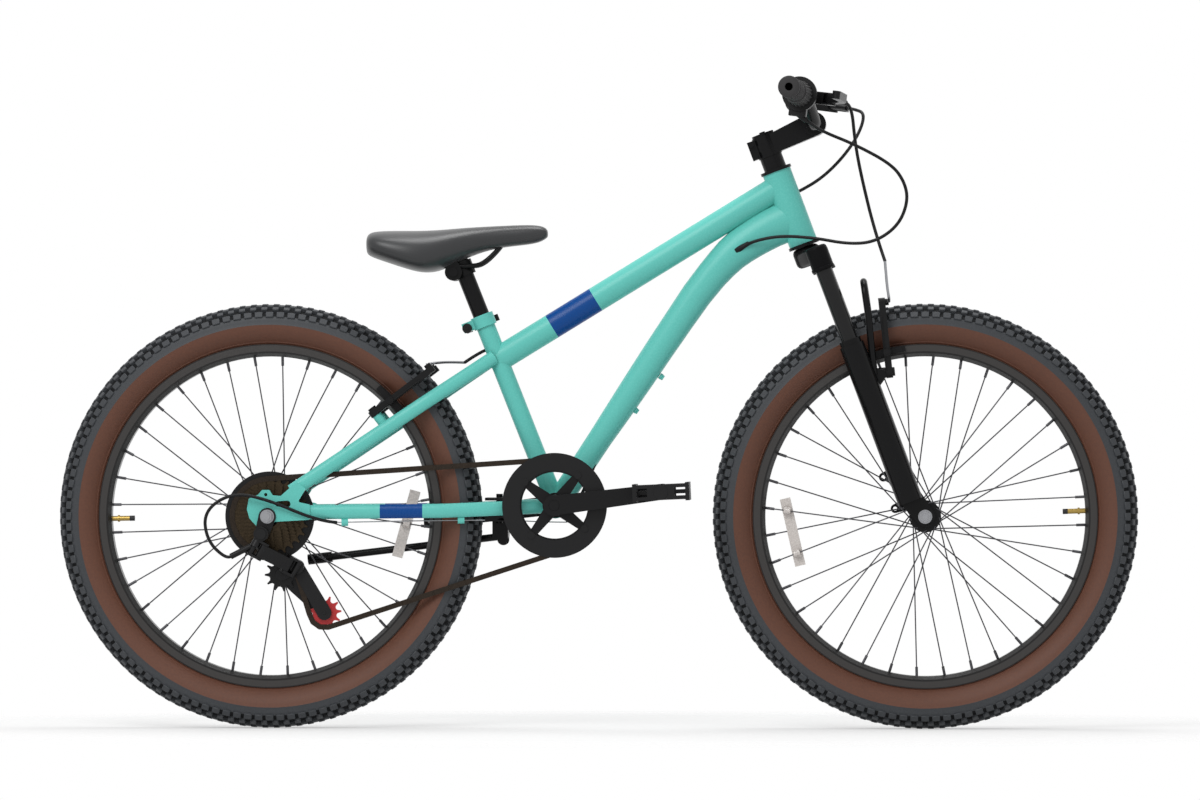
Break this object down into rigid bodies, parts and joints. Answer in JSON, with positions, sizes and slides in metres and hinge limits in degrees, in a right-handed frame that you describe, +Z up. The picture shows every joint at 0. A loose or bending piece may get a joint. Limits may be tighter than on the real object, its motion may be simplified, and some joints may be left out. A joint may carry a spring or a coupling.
{
  "type": "bicycle",
  "caption": "Fat-tyred hardtail bicycle with a mint green frame, telescopic fork, rim brakes, derailleur gears, twist shifter and kickstand.",
  "frame": {"origin": "on the ground midway between the two axles, in the bicycle's middle plane", "axes": "+X forward, +Y to the rider's left, +Z up"},
  "size_m": [1.632, 0.6096, 0.9784],
  "materials": {
    "frame_paint": "satin mint green paint with plain blue bands",
    "black_metal": "gloss black paint",
    "fork_leg": "gloss black casting",
    "crank_black": "black anodised",
    "rim_black": "black anodised",
    "steel": "plated steel",
    "dark_steel": "dark oxide steel",
    "tyre": "black tread with brown sidewalls",
    "tube_rubber": "butyl",
    "grip": "ribbed rubber",
    "black_plastic": "black moulded plastic",
    "red_plastic": "dark red moulded plastic",
    "cable": "black housing",
    "saddle": "grey synthetic cover",
    "reflector": "clear white reflector"
  },
  "bodies": {
    "frame": {"head_tube": "frame_paint", "top_tube": "frame_paint", "down_tube": "frame_paint", "seat_tube": "frame_paint", "rear_triangle": "frame_paint", "headset": "black_metal", "seat_collar": "frame_paint", "bottom_bracket_cartridge": "black_metal", "kickstand_bracket": "black_metal", "rear_axle": "steel", "chain": "dark_steel", "rear_brake_cable": "cable", "shift_cable": "cable", "derailleur_mount": "dark_steel"},
    "seat_qr": {"seat_qr_lever": "black_metal"},
    "seat": {"seatpost": "black_metal", "saddle_rails": "black_metal", "saddle": "saddle"},
    "steering": {"fork_crown": "black_metal", "stem": "black_metal", "handlebar": "black_metal", "grips": "grip", "brake_perches": "crank_black", "shifter_housing": "black_plastic", "front_brake_cable": "cable"},
    "twist": {"shifter_twist_grip": "grip"},
    "lever_right": {"brake_lever_right": "crank_black"},
    "lever_left": {"brake_lever_left": "crank_black"},
    "lowers": {"fork_lowers": "fork_leg", "front_axle": "steel"},
    "front_brake_right": {"front_brake_arm_right": "crank_black"},
    "front_brake_left": {"front_brake_arm_left": "crank_black"},
    "rear_brake_right": {"rear_brake_arm_right": "crank_black"},
    "rear_brake_left": {"rear_brake_arm_left": "crank_black"},
    "front_wheel": {"front_tyre": "tyre", "front_rim": "rim_black", "front_spokes": "steel", "front_hub": "crank_black", "front_inner_tube": "tube_rubber", "front_reflector": "reflector"},
    "rear_wheel": {"rear_tyre": "tyre", "rear_rim": "rim_black", "rear_spokes": "steel", "rear_hub": "crank_black", "rear_inner_tube": "tube_rubber", "rear_reflector": "reflector", "spoke_guard": "black_plastic"},
    "freewheel": {"freewheel": "dark_steel"},
    "cranks": {"chainring": "dark_steel", "chain_guard": "black_plastic", "crank_arms": "crank_black"},
    "pedal_right": {"pedal_right": "black_plastic"},
    "pedal_left": {"pedal_left": "black_plastic"},
    "kickstand": {"kickstand_leg": "black_metal"},
    "derailleur_outer": {"derailleur_outer_link": "dark_steel"},
    "derailleur_inner": {"derailleur_inner_link": "dark_steel"},
    "derailleur_knuckle": {"derailleur_knuckle": "dark_steel"},
    "derailleur_cage": {"derailleur_cage": "dark_steel"},
    "upper_pulley": {"upper_pulley": "black_plastic"},
    "lower_pulley": {"lower_pulley": "red_plastic"}
  },
  "joints": [
    {"name": "steering", "type": "hinge", "parent": "frame", "child": "steering", "pos_m": [0.31118, 0, 0.7327], "axis": [-0.3502, 0, 0.9367], "range_deg": [-75, 75], "deforming": ["rear_brake_cable", "shift_cable"]},
    {"name": "fork_travel", "type": "slide", "parent": "steering", "child": "lowers", "axis": [-0.3502, 0, 0.9367], "range_m": [0, 0.05], "stiffness_N_per_m": 8000, "springref_m": -0.02, "deforming": ["front_brake_cable"]},
    {"name": "front_wheel_spin", "type": "hinge", "parent": "lowers", "child": "front_wheel", "pos_m": [0.495, 0, 0.321], "axis": [0, 1, 0], "continuous": true},
    {"name": "rear_wheel_spin", "type": "hinge", "parent": "frame", "child": "rear_wheel", "pos_m": [-0.495, 0, 0.321], "axis": [0, 1, 0], "continuous": true},
    {"name": "crank_spin", "type": "hinge", "parent": "frame", "child": "cranks", "pos_m": [-0.0627, 0, 0.3378], "axis": [0, 1, 0], "continuous": true, "deforming": ["chain"]},
    {"name": "freewheel_spin", "type": "hinge", "parent": "frame", "child": "freewheel", "pos_m": [-0.495, 0, 0.321], "axis": [0, 1, 0], "continuous": true},
    {"name": "pedal_right_spin", "type": "hinge", "parent": "cranks", "child": "pedal_right", "pos_m": [0.10096, -0.12, 0.35877], "axis": [0, 1, 0], "continuous": true},
    {"name": "pedal_left_spin", "type": "hinge", "parent": "cranks", "child": "pedal_left", "pos_m": [-0.22636, 0.12, 0.31683], "axis": [0, 1, 0], "continuous": true},
    {"name": "brake_lever_right_pull", "type": "hinge", "parent": "steering", "child": "lever_right", "pos_m": [0.35325, -0.1438, 0.94549], "axis": [-0.1288, -0.0319, -0.9912], "range_deg": [0, 14], "stiffness_Nm_per_rad": 0.8, "springref_deg": -17.19},
    {"name": "brake_lever_left_pull", "type": "hinge", "parent": "steering", "child": "lever_left", "pos_m": [0.35325, 0.1438, 0.94549], "axis": [0.1288, -0.0319, 0.9912], "range_deg": [0, 14], "stiffness_Nm_per_rad": 0.8, "springref_deg": -17.19},
    {"name": "front_brake_right_swing", "type": "hinge", "parent": "lowers", "child": "front_brake_right", "pos_m": [0.44069, -0.046, 0.53883], "axis": [-0.9945, 0, -0.1045], "range_deg": [0, 3.2]},
    {"name": "front_brake_left_swing", "type": "hinge", "parent": "lowers", "child": "front_brake_left", "pos_m": [0.44069, 0.046, 0.53883], "axis": [0.9945, 0, 0.1045], "range_deg": [0, 3.2]},
    {"name": "rear_brake_right_swing", "type": "hinge", "parent": "frame", "child": "rear_brake_right", "pos_m": [-0.3346, -0.046, 0.47808], "axis": [-0.6046, 0, 0.7965], "range_deg": [0, 3.2]},
    {"name": "rear_brake_left_swing", "type": "hinge", "parent": "frame", "child": "rear_brake_left", "pos_m": [-0.3346, 0.046, 0.47808], "axis": [0.6046, 0, -0.7965], "range_deg": [0, 3.2]},
    {"name": "shifter_twist", "type": "hinge", "parent": "steering", "child": "twist", "pos_m": [0.30457, -0.20664, 0.95384], "axis": [-0.107, -0.9932, 0.0458], "range_deg": [0, 120]},
    {"name": "derailleur_outer_swing", "type": "hinge", "parent": "frame", "child": "derailleur_outer", "pos_m": [-0.5024, -0.0905, 0.269], "axis": [0.4837, 0, 0.8752], "range_deg": [-34.3, 0]},
    {"name": "derailleur_inner_swing", "type": "hinge", "parent": "frame", "child": "derailleur_inner", "pos_m": [-0.50503, -0.0775, 0.27045], "axis": [0.4837, 0, 0.8752], "range_deg": [-34.3, 0]},
    {"name": "derailleur_knuckle_swing", "type": "hinge", "parent": "derailleur_outer", "child": "derailleur_knuckle", "pos_m": [-0.4644, -0.0585, 0.248], "axis": [0.4837, 0, 0.8752], "range_deg": [0, 34.3]},
    {"name": "derailleur_cage_swing", "type": "hinge", "parent": "derailleur_knuckle", "child": "derailleur_cage", "pos_m": [-0.4524, -0.045, 0.245], "axis": [0, 1, 0], "range_deg": [0, 36]},
    {"name": "upper_pulley_spin", "type": "hinge", "parent": "derailleur_cage", "child": "upper_pulley", "pos_m": [-0.47673, -0.031, 0.23262], "axis": [0, 1, 0], "continuous": true},
    {"name": "lower_pulley_spin", "type": "hinge", "parent": "derailleur_cage", "child": "lower_pulley", "pos_m": [-0.41156, -0.031, 0.17505], "axis": [0, 1, 0], "continuous": true},
    {"name": "kickstand_swing", "type": "hinge", "parent": "frame", "child": "kickstand", "pos_m": [-0.1447, 0.043, 0.2898], "axis": [0.0113, -0.9022, -0.4312], "range_deg": [0, 87]},
    {"name": "seatpost_slide", "type": "slide", "parent": "frame", "child": "seat", "axis": [-0.3681, 0, 0.9298], "range_m": [-0.05, 0.13]},
    {"name": "seat_qr_swing", "type": "hinge", "parent": "frame", "child": "seat_qr", "pos_m": [-0.19686, 0.027, 0.60465], "axis": [-0.3681, 0, 0.9298], "range_deg": [0, 150]}
  ],
  "couplings": [
    {"joint": "front_brake_right_swing", "follows": "brake_lever_right_pull", "ratio": 0.22857},
    {"joint": "front_brake_left_swing", "follows": "brake_lever_right_pull", "ratio": 0.22857},
    {"joint": "rear_brake_right_swing", "follows": "brake_lever_left_pull", "ratio": 0.22857},
    {"joint": "rear_brake_left_swing", "follows": "brake_lever_left_pull", "ratio": 0.22857},
    {"joint": "freewheel_spin", "follows": "crank_spin", "ratio": 1.2143},
    {"joint": "upper_pulley_spin", "follows": "crank_spin", "ratio": -3.0909},
    {"joint": "lower_pulley_spin", "follows": "crank_spin", "ratio": 3.0909},
    {"joint": "derailleur_outer_swing", "follows": "shifter_twist", "ratio": -0.28583},
    {"joint": "derailleur_inner_swing", "follows": "shifter_twist", "ratio": -0.28583},
    {"joint": "derailleur_knuckle_swing", "follows": "shifter_twist", "ratio": 0.28583},
    {"joint": "derailleur_cage_swing", "follows": "shifter_twist", "ratio": 0.3}
  ]
}
